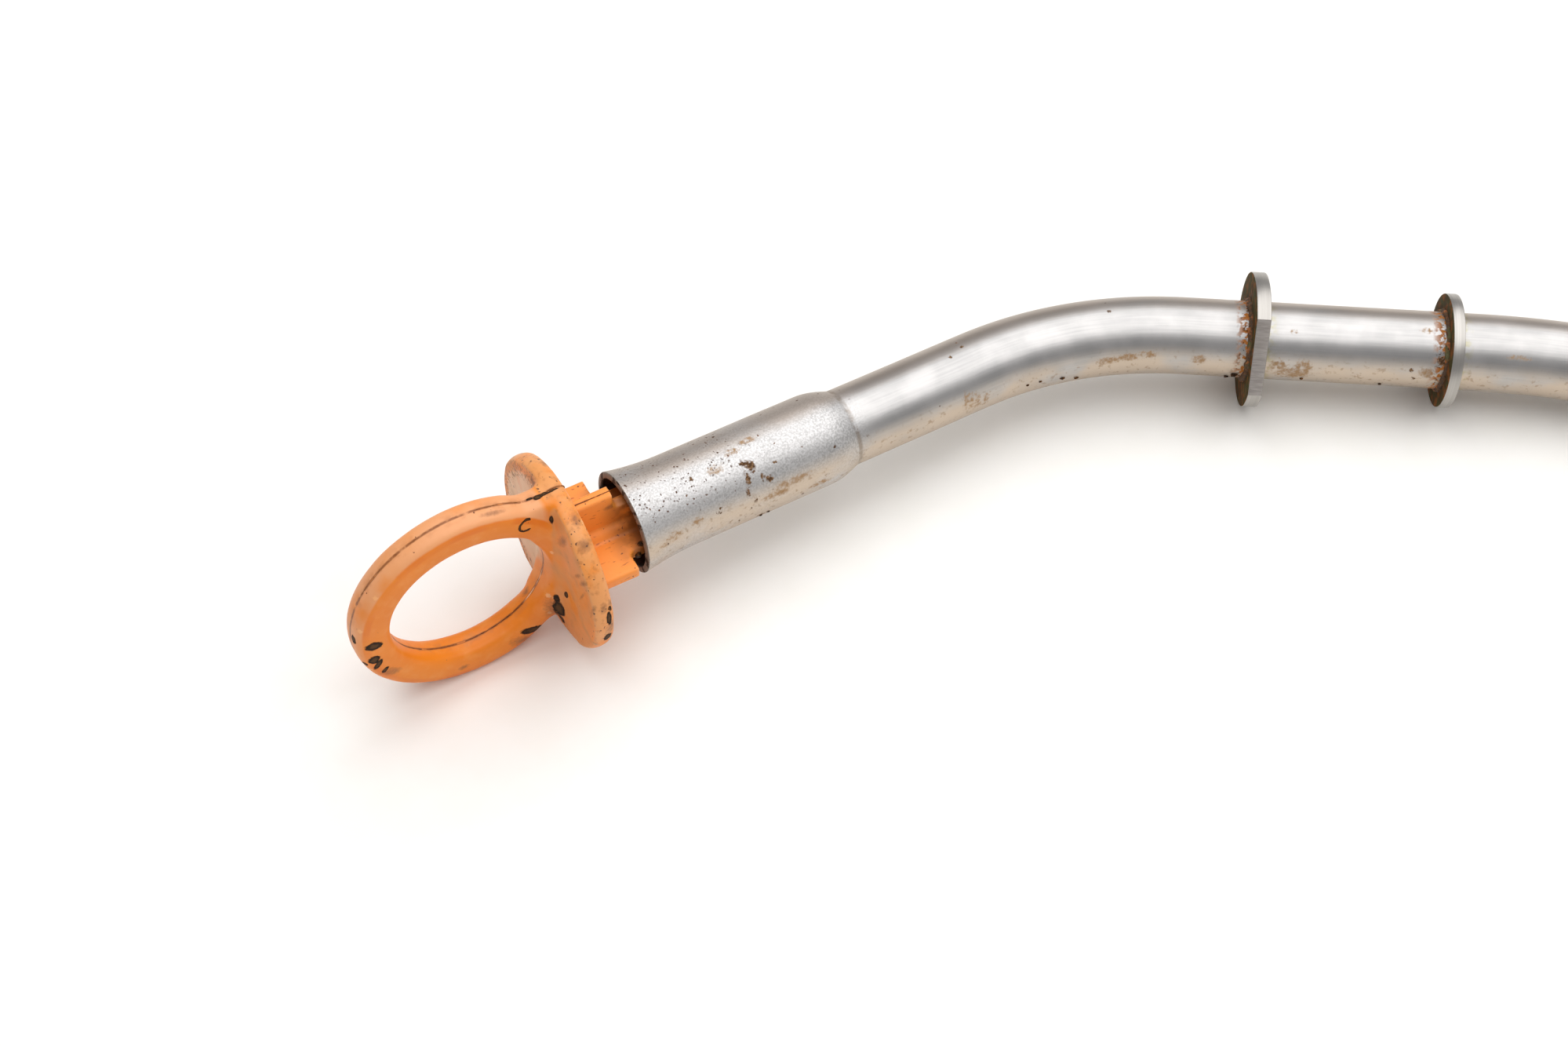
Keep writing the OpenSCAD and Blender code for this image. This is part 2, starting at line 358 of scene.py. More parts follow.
# Handle
def from_handle(x, y, z):
    """A point given in the handle's own frame, at its place in the row."""
    return MOUTH + Matrix.Rotation(HANDLE_TURN, 3, "X") @ Vector((x, y, z))


def in_handle(point):
    return Matrix.Rotation(-HANDLE_TURN, 3, "X") @ (point - MOUTH)


VOXEL = 0.28 * MM
ROOT_REACH = 4.5 * MM
ROOT_FULL = 1.2 * MM
ROOT_WIDTH = 6.5 * MM
ROOT_FADE = 2 * MM
ROOT_SMOOTHING = 110
EDGE_SMOOTHING = 2
FAR_ROOT_CUT = (-17, 2.9, -9.5), (FLANGE_FRONT / MM, 8, 9.5)
TOP_ROOT_BLOCK = (-15, -2.2, 12), (-12, 2.2, 14.8)
STOP_FROM = 6.6 * MM  # The stop ribs' ends begin this far from the axis
STOP_PLAY = 0.18 * MM


def root_weight(point):
    """How much a point belongs to the root, where the ring grows out of the flange."""
    p = in_handle(point)
    off_face = max(abs(p.x - (FLANGE_FRONT - ROOT_FULL)) - ROOT_FULL, 0) / (ROOT_REACH - ROOT_FULL)
    off_web = max(abs(p.y) - ROOT_WIDTH, 0) / ROOT_FADE
    return max(0.0, 1 - max(off_face, off_web)) if p.x < FLANGE_FRONT + 0.3 * MM else 0.0


def root_block(low, high):
    """A box at the root, given by its corners in millimetres in the handle's own frame."""
    deselect()
    low, high = Vector(low), Vector(high)
    bpy.ops.mesh.primitive_cube_add(size=1, location=from_handle(*((low + high) / 2 * MM)),
                                    rotation=(HANDLE_TURN, 0, 0), scale=(high - low) * MM)
    return placed("root_block")


def handle_moulding():
    """The handle's CAD form with the soft corners of a moulding and a root that flows into the flange's
    edge on top, and is tighter on its far side beside the hole."""
    piece = copied("handle", "handle_moulding")
    cutter = root_block(*FAR_ROOT_CUT)
    finish_with(piece, "BOOLEAN", operation="DIFFERENCE", object=cutter, solver="EXACT")
    bpy.data.objects.remove(cutter)
    piece = joined("handle_moulding", [piece, root_block(*TOP_ROOT_BLOCK)])
    finish_with(piece, "REMESH", mode="VOXEL", voxel_size=VOXEL)
    root = piece.vertex_groups.new(name="root")
    for vertex in piece.data.vertices:
        weight = root_weight(vertex.co)
        if weight > 0:
            root.add([vertex.index], weight, "REPLACE")
    finish_with(piece, "SMOOTH", factor=0.5, iterations=ROOT_SMOOTHING, vertex_group="root")
    finish_with(piece, "SMOOTH", factor=0.5, iterations=EDGE_SMOOTHING)
    uneven(piece, 5 * MM, 0.1 * MM)
    rib_end = MOUTH.x + RIB_END
    select_where(piece, lambda p: abs(p.x - rib_end) < 0.4 * MM and (p - MOUTH).length > STOP_FROM)
    bpy.ops.transform.translate(value=(-STOP_PLAY, 0, 0))
    smooth(piece, 180)
    return piece


def flash_ring(radius, thickness):
    """The fine line of flash where the mould halves met, along one circle of the finger ring."""
    deselect()
    bpy.ops.mesh.primitive_torus_add(location=from_handle(RING_AT, 0, 0),
                                     rotation=(math.pi / 2 + HANDLE_TURN, 0, 0), major_segments=220,
                                     minor_segments=8, major_radius=radius, minor_radius=thickness)
    ring = placed("flash")
    bpy.ops.object.mode_set(mode="EDIT")
    bpy.ops.mesh.select_all(action="SELECT")
    bpy.ops.mesh.bisect(plane_co=from_handle(FLANGE_FRONT + 0.4 * MM, 0, 0), plane_no=X,
                        clear_outer=True, use_fill=True)
    bpy.ops.object.mode_set(mode="OBJECT")
    return ring


def flange_seam():
    """The same flash where it climbs the flange's front face and rounds its edge."""
    steps = 12
    edge = [math.pi / 2 - math.pi * i / steps for i in range(steps + 1)]
    outline = [(FLANGE_FRONT, 11.8 * MM)]
    outline += [((FLANGE_FRONT + FLANGE_BACK) / 2 - (FLANGE_BACK - FLANGE_FRONT) / 2 * math.sin(t),
                 FLANGE_R - FLANGE_ROUND * (1 - math.cos(t)) - 0.04 * MM) for t in edge]
    outline += [(FLANGE_BACK, RIB_R), (RIB_END - STOP_PLAY, RIB_R - 0.02 * MM)]
    line = bpy.data.curves.new("seam", "CURVE")
    line.dimensions = "3D"
    line.bevel_depth = 0.1 * MM
    line.use_fill_caps = True
    path = line.splines.new("POLY")
    path.points.add(len(outline) - 1)
    for point, (x, z) in zip(path.points, outline):
        point.co = (*from_handle(x, 0, z), 1)
    seam = bpy.data.objects.new("seam", line)
    bpy.context.scene.collection.objects.link(seam)
    only(seam)
    bpy.ops.object.convert(target="MESH")
    return bpy.context.object


def parting_flash():
    flash = joined("parting_flash", [flash_ring(RING_OUTER - 0.16 * MM, 0.14 * MM),
                                     flash_ring(RING_INNER + 0.08 * MM, 0.11 * MM), flange_seam()])
    uneven(flash, 1.2 * MM, 0.08 * MM)
    smooth(flash, 180)
    return flash


# Grime
def crumbs(name, places, grain):
    """Small lumps of caked dirt, each given by its middle and its half sizes."""
    lumps = []
    for middle, halves in places:
        deselect()
        bpy.ops.mesh.primitive_ico_sphere_add(subdivisions=4, radius=1, location=middle, scale=halves)
        lumps.append(placed("crumb"))
        uneven(lumps[-1], grain, 0.9 * min(halves))
        uneven(lumps[-1], grain / 4, 0.35 * min(halves))
    lump = joined(name, lumps)
    smooth(lump, 180)
    return lump


def on_tube(along, angle, radius=TUBE_R):
    """A point on the bent tube: distance from the mouth, and the angle up from the outside of the bends."""
    across, up = radius * math.cos(math.radians(angle)), radius * math.sin(math.radians(angle))
    for start, turned, bend_r, turn, run in ((MOUTH, 0, BEND_1_R, BEND_1_A, MOUTH_RUN),
                                             (MID, BEND_1_A, BEND_2_R, BEND_2_A, MID_RUN)):
        way = heading(turned)
        if along < run:
            return start + way * along + Vector((-way.y, way.x, 0)) * across + Z * up
        along -= run
        if along < bend_r * turn:
            way = heading(turned + along / bend_r)
            middle = past_bend(start + heading(turned) * run, turned, turned + along / bend_r, bend_r)
            return middle + Vector((-way.y, way.x, 0)) * across + Z * up
        along -= bend_r * turn
    return END


# Materials
def linear(hex_colour):
    """An sRGB hex colour as linear RGBA."""
    shares = [int(hex_colour[i:i + 2], 16) / 255 for i in (1, 3, 5)]
    return (*[s / 12.92 if s <= 0.04045 else ((s + 0.055) / 1.055) ** 2.4 for s in shares], 1)


def add(tree, kind, links=(), **settings):
    """Adds a node with its settings, and links or sets the named or numbered inputs."""
    made = tree.nodes.new(kind)
    for name, value in settings.items():
        setattr(made, name, value)
    for socket, value in dict(links).items():
        if isinstance(value, bpy.types.NodeSocket):
            tree.links.new(value, made.inputs[socket])
        else:
            made.inputs[socket].default_value = value
    return made


def material(name):
    made = bpy.data.materials.new(name)
    made.use_nodes = True
    return made, made.node_tree, made.node_tree.nodes["Principled BSDF"]


def millimetres(tree, origin=(0, 0, 0), turn=(0, 0, 0), place=None):
    """The place on the object, or another, in millimetres, in a frame with its own origin and turn."""
    place = place or add(tree, "ShaderNodeTexCoord").outputs["Object"]
    return add(tree, "ShaderNodeMapping", {"Vector": place, "Location": origin, "Rotation": turn,
                                           "Scale": (MM, MM, MM)}, vector_type="TEXTURE").outputs[0]


def ragged(tree, at, grain, depth):
    """The place shaken by fine noise, so that what is drawn on it gets ragged edges."""
    noise = add(tree, "ShaderNodeTexNoise", {"Vector": at, "Scale": 1 / grain, "Detail": 3.0})
    shake = add(tree, "ShaderNodeVectorMath", {0: noise.outputs["Color"], 1: (0.5, 0.5, 0.5)},
                operation="SUBTRACT")
    return add(tree, "ShaderNodeVectorMath", {0: shake.outputs[0], 1: (depth, depth, depth), 2: at},
               operation="MULTIPLY_ADD").outputs[0]


def blotches(tree, at, size, low, high, most=1.0, within=1.0, stretch=(1, 1, 1)):
    """A mask of blotches about as wide as size: 0 where the noise is below low, the most above high."""
    drawn = add(tree, "ShaderNodeMapping", {"Vector": at, "Scale": stretch}, vector_type="TEXTURE")
    noise = add(tree, "ShaderNodeTexNoise", {"Vector": drawn.outputs[0], "Scale": 1 / size, "Detail": 4.0})
    reach = add(tree, "ShaderNodeMapRange", {0: noise.outputs["Fac"], 1: low, 2: high, 4: most},
                interpolation_type="SMOOTHSTEP")
    return add(tree, "ShaderNodeMath", {0: reach.outputs[0], 1: within}, operation="MULTIPLY").outputs[0]


def between(tree, value, low, high, soft, within=1.0):
    """A mask that is 1 where the value lies between low and high, with soft edges."""
    rise = add(tree, "ShaderNodeMapRange", {0: value, 1: low - soft, 2: low})
    fall = add(tree, "ShaderNodeMapRange", {0: value, 1: high, 2: high + soft, 3: 1.0, 4: 0.0})
    both = add(tree, "ShaderNodeMath", {0: rise.outputs[0], 1: fall.outputs[0]}, operation="MULTIPLY")
    return add(tree, "ShaderNodeMath", {0: both.outputs[0], 1: within}, operation="MULTIPLY").outputs[0]


def specks(tree, at, spacing, size, share, within=1.0):
    """A mask of small specks up to size wide, in a share of the cells of a loose grid."""
    cells = add(tree, "ShaderNodeTexVoronoi", {"Vector": at, "Scale": 1 / spacing})
    draw = add(tree, "ShaderNodeSeparateColor", {0: cells.outputs["Color"]})
    radius = add(tree, "ShaderNodeMapRange", {0: draw.outputs[0], 1: 1 - share, 2: 1.0, 3: -0.1,
                                              4: size / 2 / spacing})
    inside = add(tree, "ShaderNodeMath", {0: radius.outputs[0], 1: cells.outputs["Distance"]},
                 operation="SUBTRACT")
    edge = add(tree, "ShaderNodeMapRange", {0: inside.outputs[0], 1: 0.0, 2: 0.12 * size / spacing})
    return add(tree, "ShaderNodeMath", {0: edge.outputs[0], 1: within}, operation="MULTIPLY").outputs[0]


def drawn_marks(tree, name, shake, low=0.0, high=0.2, most=1.0, ragged_by=0.5):
    """A mask from the marks that the mesh remembers under this name, with ragged edges."""
    depth = add(tree, "ShaderNodeAttribute", attribute_name=name).outputs["Fac"]
    shaken = add(tree, "ShaderNodeMath", {0: shake, 1: ragged_by, 2: depth}, operation="MULTIPLY_ADD")
    middle = ragged_by / 2
    return add(tree, "ShaderNodeMapRange", {0: shaken.outputs[0], 1: low + middle, 2: high + middle,
                                            4: most}).outputs[0]


def coats(tree, ground, *layers):
    """Lays each colour over what is below it, where its mask is 1."""
    colour = linear(ground)
    for mask, tint in layers:
        colour = add(tree, "ShaderNodeMix", {0: mask, 6: colour, 7: linear(tint)},
                     data_type="RGBA").outputs[2]
    return colour


def levels(tree, ground, *layers):
    """The same for a plain number, such as roughness or height."""
    level = ground
    for mask, value in layers:
        level = add(tree, "ShaderNodeMix", {0: mask, 2: level, 3: value}, data_type="FLOAT").outputs[0]
    return level


def finished(tree, shader, height, strength, depth, **sockets):
    """Links what varies over the surface to the shader, with the height as fine relief."""
    for name, value in sockets.items():
        tree.links.new(value, shader.inputs[name.replace("_", " ").title().replace("Ior", "IOR")])
    relief = add(tree, "ShaderNodeBump", {"Height": height, "Strength": strength, "Distance": depth})
    tree.links.new(relief.outputs[0], shader.inputs["Normal"])


def handle_mark(middle, halves, turn=(0, 0, 0)):
    """A mark's place on the handle: its middle and half sizes in millimetres, in the handle's own frame."""
    turned = Euler([math.radians(angle) for angle in turn])
    return Matrix.Translation(MOUTH) @ Matrix.Rotation(HANDLE_TURN, 4, "X") @ Matrix.LocRotScale(
        Vector(middle) * MM, turned, Vector(halves) * MM)


def curl_marks(middle, radius, first, last, width):
    """A hair's curl stuck to the plastic, as short marks along an arc."""
    count = 9
    angles = [math.radians(first + (last - first) * i / (count - 1)) for i in range(count)]
    return [handle_mark((middle[0] + radius * math.cos(a), middle[1], middle[2] + radius * math.sin(a)),
                        (width, 1, radius * 0.45), (0, -math.degrees(a), 0)) for a in angles]


HANDLE_MARKS = {
    "oil": [handle_mark((-40.6, -2.6, 0.2), (1.5, 1.0, 1.0), (0, 12, 0)),
            handle_mark((-40.9, -2.5, -3.1), (1.0, 0.9, 1.1), (0, 20, 0)),
            handle_mark((-40.4, -2.4, -4.6), (0.5, 0.9, 1.5), (0, 30, 0)),
            handle_mark((-12.3, -2.7, 12.1), (0.5, 0.5, 1.1)),
            handle_mark((-12.6, -3.4, -5.8), (0.8, 0.9, 1.5)),
            handle_mark((-12.8, -4.0, -8.2), (1.1, 1.2, 2.1)),
            handle_mark((-12.4, -3.4, -11.4), (0.9, 1.0, 1.8)),
            handle_mark((-16.8, -2.2, -12.8), (2.3, 1.0, 0.9), (0, 20, 0)),
            handle_mark((-12.2, -5.6, -2.9), (0.8, 0.5, 1.1), (20, 0, 0)),
            handle_mark((-10.2, -14.9, -3.4), (0.8, 0.8, 1.4)),
            handle_mark((-10.0, -15.0, 1.6), (0.5, 0.8, 1.7)),
            handle_mark((-42.8, -1.0, 1.5), (0.7, 0.6, 1.0)),
            handle_mark((-42.0, -1.7, -4.1), (0.7, 0.5, 0.7)),
            handle_mark((-14.4, 0.1, 14.6), (0.7, 0.25, 1.0)),
            handle_mark((-13.2, -0.2, 14.7), (0.8, 0.45, 1.2)),
            handle_mark((-12.2, -0.1, 14.8), (0.6, 0.3, 1.0)),
            handle_mark((-11.0, -0.3, 15.0), (1.3, 0.2, 0.6)),
            handle_mark((-39.6, -2.5, -6.6), (0.4, 0.5, 0.9), (0, 40, 0))]
    + curl_marks((-16.2, -2.4, 12.8), 1.05, 60, 280, 0.26),
    "stain": [handle_mark((-12.2, -11.6, 7.4), (0.5, 0.5, 2.6), (38, 0, 0)),
              handle_mark((-11.9, -13.9, 3.4), (0.5, 0.4, 3.2), (14, 0, 0)),
              handle_mark((-9.4, -14.3, 4.6), (0.4, 0.5, 2.8), (18, 0, 0)),
              handle_mark((-12.2, -9.8, 7.1), (0.7, 0.4, 2.2), (35, 0, 0)),
              handle_mark((-12.2, -11.0, 3.6), (0.7, 0.3, 2.8), (25, 0, 0)),
              handle_mark((-12.2, -5.6, 10.2), (0.7, 0.9, 2.6), (30, 0, 0)),
              handle_mark((-10.0, -5.6, 14.0), (0.9, 1.8, 0.9)),
              handle_mark((-15.6, 0.9, -8.2), (1.1, 0.7, 2.4), (0, -35, 0)),
              handle_mark((-12.2, 3.6, 13.2), (0.7, 1.8, 0.9)),
              handle_mark((-28.0, -2.5, -14.6), (1.1, 0.7, 0.6)),
              handle_mark((-18.2, -2.5, -14.4), (3.0, 1.2, 1.4), (0, 20, 0)),
              handle_mark((-38.8, -2.4, -7.6), (1.9, 0.9, 1.2), (0, 30, 0)),
              handle_mark((-20.4, -1.2, 16.9), (2.4, 0.5, 0.7), (0, 15, 0)),
              handle_mark((-2.6, -1.0, 6.6), (1.2, 0.6, 0.7)),
              handle_mark((-9.6, -15.0, -1.0), (1.2, 0.6, 2.6)),
              handle_mark((-10.6, -14.6, 4.2), (0.8, 0.6, 1.6)),
              handle_mark((-10.4, -9.0, 12.2), (1.6, 1.4, 1.0)),
              handle_mark((-9.2, 6.0, 13.9), (0.9, 2.4, 0.9)),
              handle_mark((-11.9, -14.0, -5.6), (0.8, 0.6, 1.6)),
              handle_mark((-13.4, -3.4, -8.6), (1.9, 1.8, 4.0))]}


def moulded_polyamide():
    """Injection-moulded polyamide: satin orange, sun-faded and dusty where it was exposed, and dirty in its
    pores;
    painted shade darkens its corners and the band under the ring's crease, and painted highlights lighten its
    edges and ribs."""
    made, tree, shader = material("moulded_polyamide")
    at = millimetres(tree, MOUTH, (HANDLE_TURN, 0, 0))
    x, y, z = add(tree, "ShaderNodeSeparateXYZ", {0: at}).outputs
    normal = add(tree, "ShaderNodeTexCoord").outputs["Normal"]
    facing = add(tree, "ShaderNodeSeparateXYZ", {0: normal}).outputs[0]
    in_ring_plane = add(tree, "ShaderNodeVectorMath", {0: at, 1: (1, 0, 1)}, operation="MULTIPLY")
    ring_r = add(tree, "ShaderNodeVectorMath", {0: in_ring_plane.outputs[0], 1: (RING_AT / MM, 0, 0)},
                 operation="DISTANCE").outputs["Value"]
    across_plug = add(tree, "ShaderNodeVectorMath", {0: at, 1: (0, 1, 1)}, operation="MULTIPLY")
    plug_r = add(tree, "ShaderNodeVectorMath", {0: across_plug.outputs[0]},
                 operation="LENGTH").outputs["Value"]
    corners = add(tree, "ShaderNodeNewGeometry").outputs["Pointiness"]
    shake = add(tree, "ShaderNodeTexNoise", {"Vector": at, "Scale": 2.2, "Detail": 5.0}).outputs["Fac"]
    scattered = ragged(tree, at, 0.4, 0.6)
    ragged_r = add(tree, "ShaderNodeMath", {0: shake, 1: 2.4, 2: plug_r},
                   operation="MULTIPLY_ADD").outputs[0]

    on_ring = between(tree, x, -60, -13.5, 0.8)
    outer_band = between(tree, ring_r, 17.0, 30, 0.25, between(tree, z, 6, 30, 10, on_ring))
    # A darker, more saturated orange under the ring's crease: painted shade.
    painted_crease_shade = between(tree, ring_r, 16.1, 16.8, 0.3, on_ring)
    ribs = between(tree, x, -8.8, 60, 0.5)
    front = between(tree, x, -12.9, -11.8, 0.3, between(tree, facing, -2, -0.85, 0.25))
    rim = between(tree, plug_r, 14.6, 30, 0.3, between(tree, x, -12.5, -8, 0.3))
    seam = between(tree, y, -0.1, 0.1, 0.2)
    filled_seam = between(tree, y, -0.1, 0.1, 0.2, between(tree, x, -60, -9.5, 0.5))
    seam_side = between(tree, y, -0.35, 0.35, 0.9, between(tree, x, -60, -8, 1))
    # Darker brown in the concave corners, found by pointiness: painted shade.
    painted_corner_shade = add(tree, "ShaderNodeMapRange", {0: corners, 1: 0.49, 2: 0.42}).outputs[0]
    # Paler along convex edges: partly wear, partly a painted highlight.
    edge_wear_and_highlight = add(tree, "ShaderNodeMapRange", {0: corners, 1: 0.53, 2: 0.6}).outputs[0]
    inside = add(tree, "ShaderNodeMapRange", {0: plug_r, 1: 8.0, 2: 6.5}).outputs[0]
    far_in = between(tree, x, 0.5, 60, 5, inside)
    oil = drawn_marks(tree, "oil", shake)
    dust = blotches(tree, at, 6, 0.25, 0.65, 0.55, front)
    far_front = between(tree, y, 1.5, 30, 2, front)
    dish = between(tree, ragged_r, -1, 14.0, 0.7, far_front)
    lobe_dust = blotches(tree, at, 5, 0.1, 0.5, 0.9, dish)
    dish_edge = between(tree, ragged_r, 13.6, 15.4, 0.6, far_front)
    pores = specks(tree, scattered, 1.2, 0.4, 0.5)
    far_flange = between(tree, y, 1.5, 30, 2, between(tree, x, -13, -9.4, 0.4))
    lobe_edge = between(tree, plug_r, 12, 30, 1.0, far_flange)

    colour = coats(tree, "#EC861C",
                   (blotches(tree, at, 7, 0.35, 0.7, 0.5), "#E27A18"),
                   (blotches(tree, at, 2.5, 0.45, 0.75, 0.4), "#F2A050"),
                   # The lighter orange of the ribs is partly clean, unfaded plastic and partly painted light
                   # from above.
                   (ribs, "#F0923A"),
                   (blotches(tree, at, 9, 0.2, 0.5, 0.85, outer_band), "#E8A574"),
                   (blotches(tree, at, 5, 0.35, 0.6, 0.8, painted_crease_shade), "#E0700E"),
                   (edge_wear_and_highlight, "#F2AC70"),
                   (blotches(tree, at, 4, 0.3, 0.6, 0.7, rim), "#E0A066"),
                   (dust, "#D09C6C"),
                   (lobe_dust, "#E8C4A0"),
                   (blotches(tree, at, 0.5, 0.5, 0.6, 0.7, dish_edge), "#8A5428"),
                   (blotches(tree, at, 0.9, 0.5, 0.72, 0.45, rim), "#B06A34"),
                   (blotches(tree, at, 3.0, 0.5, 0.75, 0.25, front), "#A0704A"),
                   (blotches(tree, at, 0.5, 0.6, 0.7, 0.7, ribs, (3, 1, 1)), "#A4501E"),
                   (blotches(tree, at, 1.6, 0.45, 0.7, 0.5, seam_side), "#BC7440"),
                   (blotches(tree, at, 3, 0.2, 0.5, 0.9, far_in), "#7A420A"),
                   (blotches(tree, at, 1.8, 0.3, 0.6, 0.8, painted_corner_shade), "#8E5216"),
                   (blotches(tree, at, 1.2, 0.5, 0.62, 0.7, seam), "#9A5A28"),
                   (blotches(tree, at, 1.7, 0.3, 0.5, 0.85, filled_seam), "#84481E"),
                   (drawn_marks(tree, "stain", shake, 0.0, 0.8, 0.7, 1.0), "#7E4C26"),
                   (pores, "#7E4A26"),
                   (specks(tree, scattered, 1.7, 1.0, 0.6, lobe_edge), "#7A4A28"),
                   (specks(tree, scattered, 1.0, 0.5, 0.6, ribs), "#7A421A"),
                   (specks(tree, scattered, 0.6, 0.5, 0.5, blotches(tree, at, 4, 0.4, 0.5, 1.0, rim)),
                    "#6B4328"),
                   (oil, "#22160C"),
                   (drawn_marks(tree, "oil", shake, 0.3, 0.7, 0.6, 0.9), "#6A4A2A"))
    roughness = levels(tree, 0.4, (blotches(tree, at, 3, 0.3, 0.7), 0.48), (dust, 0.75), (oil, 0.7))
    shine = levels(tree, 0.4, (oil, 0.15), (far_in, 0.6))
    height = levels(tree, 0.5, (blotches(tree, at, 0.5, 0.3, 0.7), 0.62), (pores, 0.1), (oil, 0.8),
                    (blotches(tree, at, 2.2, 0.3, 0.7, 0.3), 0.9))
    finished(tree, shader, height, 0.5, 0.1 * MM, base_color=colour, roughness=roughness,
             specular_ior_level=shine)
    return made


def packed_dirt():
    """Old oil and road dust packed along the mould line: matt brown, with breaks where the plastic shows,
    and rubbed pale inside the root."""
    made, tree, shader = material("packed_dirt")
    at = millimetres(tree, MOUTH, (HANDLE_TURN, 0, 0))
    x, y, z = add(tree, "ShaderNodeSeparateXYZ", {0: at}).outputs
    in_root = between(tree, x, -16, -12.9, 1.0, between(tree, z, -8, 8, 2))
    colour = coats(tree, "#8A5632", (blotches(tree, at, 0.8, 0.45, 0.6), "#5E3A1E"),
                   (blotches(tree, at, 2.6, 0.56, 0.62), "#DE8A48"), (in_root, "#F2C098"))
    height = blotches(tree, at, 0.3, 0.3, 0.7)
    shader.inputs["Specular IOR Level"].default_value = 0.1
    finished(tree, shader, height, 0.4, 0.05 * MM, base_color=colour,
             roughness=levels(tree, 0.7, (height, 0.9)))
    return made


TUBE_MARKS = {  # Distance from the mouth in millimetres, angle, and half sizes along and around the tube
    "stain": [(19.1, 125, 0.9, 0.9), (18.2, 119, 0.9, 0.5), (17.9, 138, 0.5, 1.5), (17.3, 153, 0.4, 1.3),
              (20.2, 142, 0.4, 1.1), (21.2, 148, 0.6, 0.8), (22.7, 132, 0.5, 0.4), (10.0, 111, 0.5, 0.5),
              (3.0, 62, 0.5, 0.5), (12.7, 157, 0.4, 0.4), (12.3, 163, 0.4, 0.4), (104.9, 88, 0.7, 0.9),
              (58.4, 70, 0.4, 0.4), (58.6, 83, 0.5, 0.4), (55.9, 93, 0.4, 0.4), (134.3, 150, 0.9, 1.1),
              (130.0, 167, 0.5, 0.5), (130.4, -177, 0.5, 0.5), (83.0, 92, 0.4, 0.4), (19.4, -156, 1.0, 0.5),
              (18.3, 168, 0.35, 0.8), (17.3, 178, 0.3, 0.8), (16.3, -174, 0.3, 0.8), (15.3, -167, 0.3, 0.8)],
    "smear": [(14.1, 112, 1.6, 0.8), (20.4, 94, 1.7, 0.6), (17.4, 100, 1.5, 0.6), (4.5, 167, 1.9, 0.9),
              (2.7, 172, 1.3, 0.7), (8.6, 161, 1.2, 0.7), (29.2, -173, 2.2, 0.7), (25.0, 163, 4.0, 0.8),
              (22.0, 172, 3.0, 0.8), (55.7, 165, 0.5, 2.0), (56.7, 171, 0.5, 2.2), (57.8, 172, 0.5, 1.9),
              (59.3, 177, 0.6, 1.4), (82.2, 169, 2.5, 0.7), (85.4, 166, 2.2, 0.8), (88.8, 163, 1.8, 0.7),
              (97.5, 170, 1.3, 1.0), (132.4, 171, 1.6, 1.1), (131.8, 105, 1.1, 0.6), (111.5, 119, 0.7, 0.5),
              (114.0, 177, 1.1, 2.2), (109.6, 174, 1.7, 1.4), (113.0, 171, 0.9, 1.4), (146.0, 138, 2.2, 0.5),
              (112.0, -172, 3.0, 1.6)]}
HALO_REACH = 1.4


def tube_mark(along, angle, long, wide):
    """A mark's place on the bent tube, turned to lie along it."""
    along, turned = along * MM, 0.0
    radius = BELL_R if along < BELL_LEN else TUBE_R
    if along > MOUTH_RUN:
        turned = min((along - MOUTH_RUN) / BEND_1_R, BEND_1_A)
    if along > MOUTH_RUN + BEND_1_R * BEND_1_A + MID_RUN:
        turned += (along - MOUTH_RUN - BEND_1_R * BEND_1_A - MID_RUN) / BEND_2_R
    return Matrix.LocRotScale(on_tube(along, angle, radius), Euler((0, 0, -turned)),
                              Vector((long, wide, wide)) * MM)


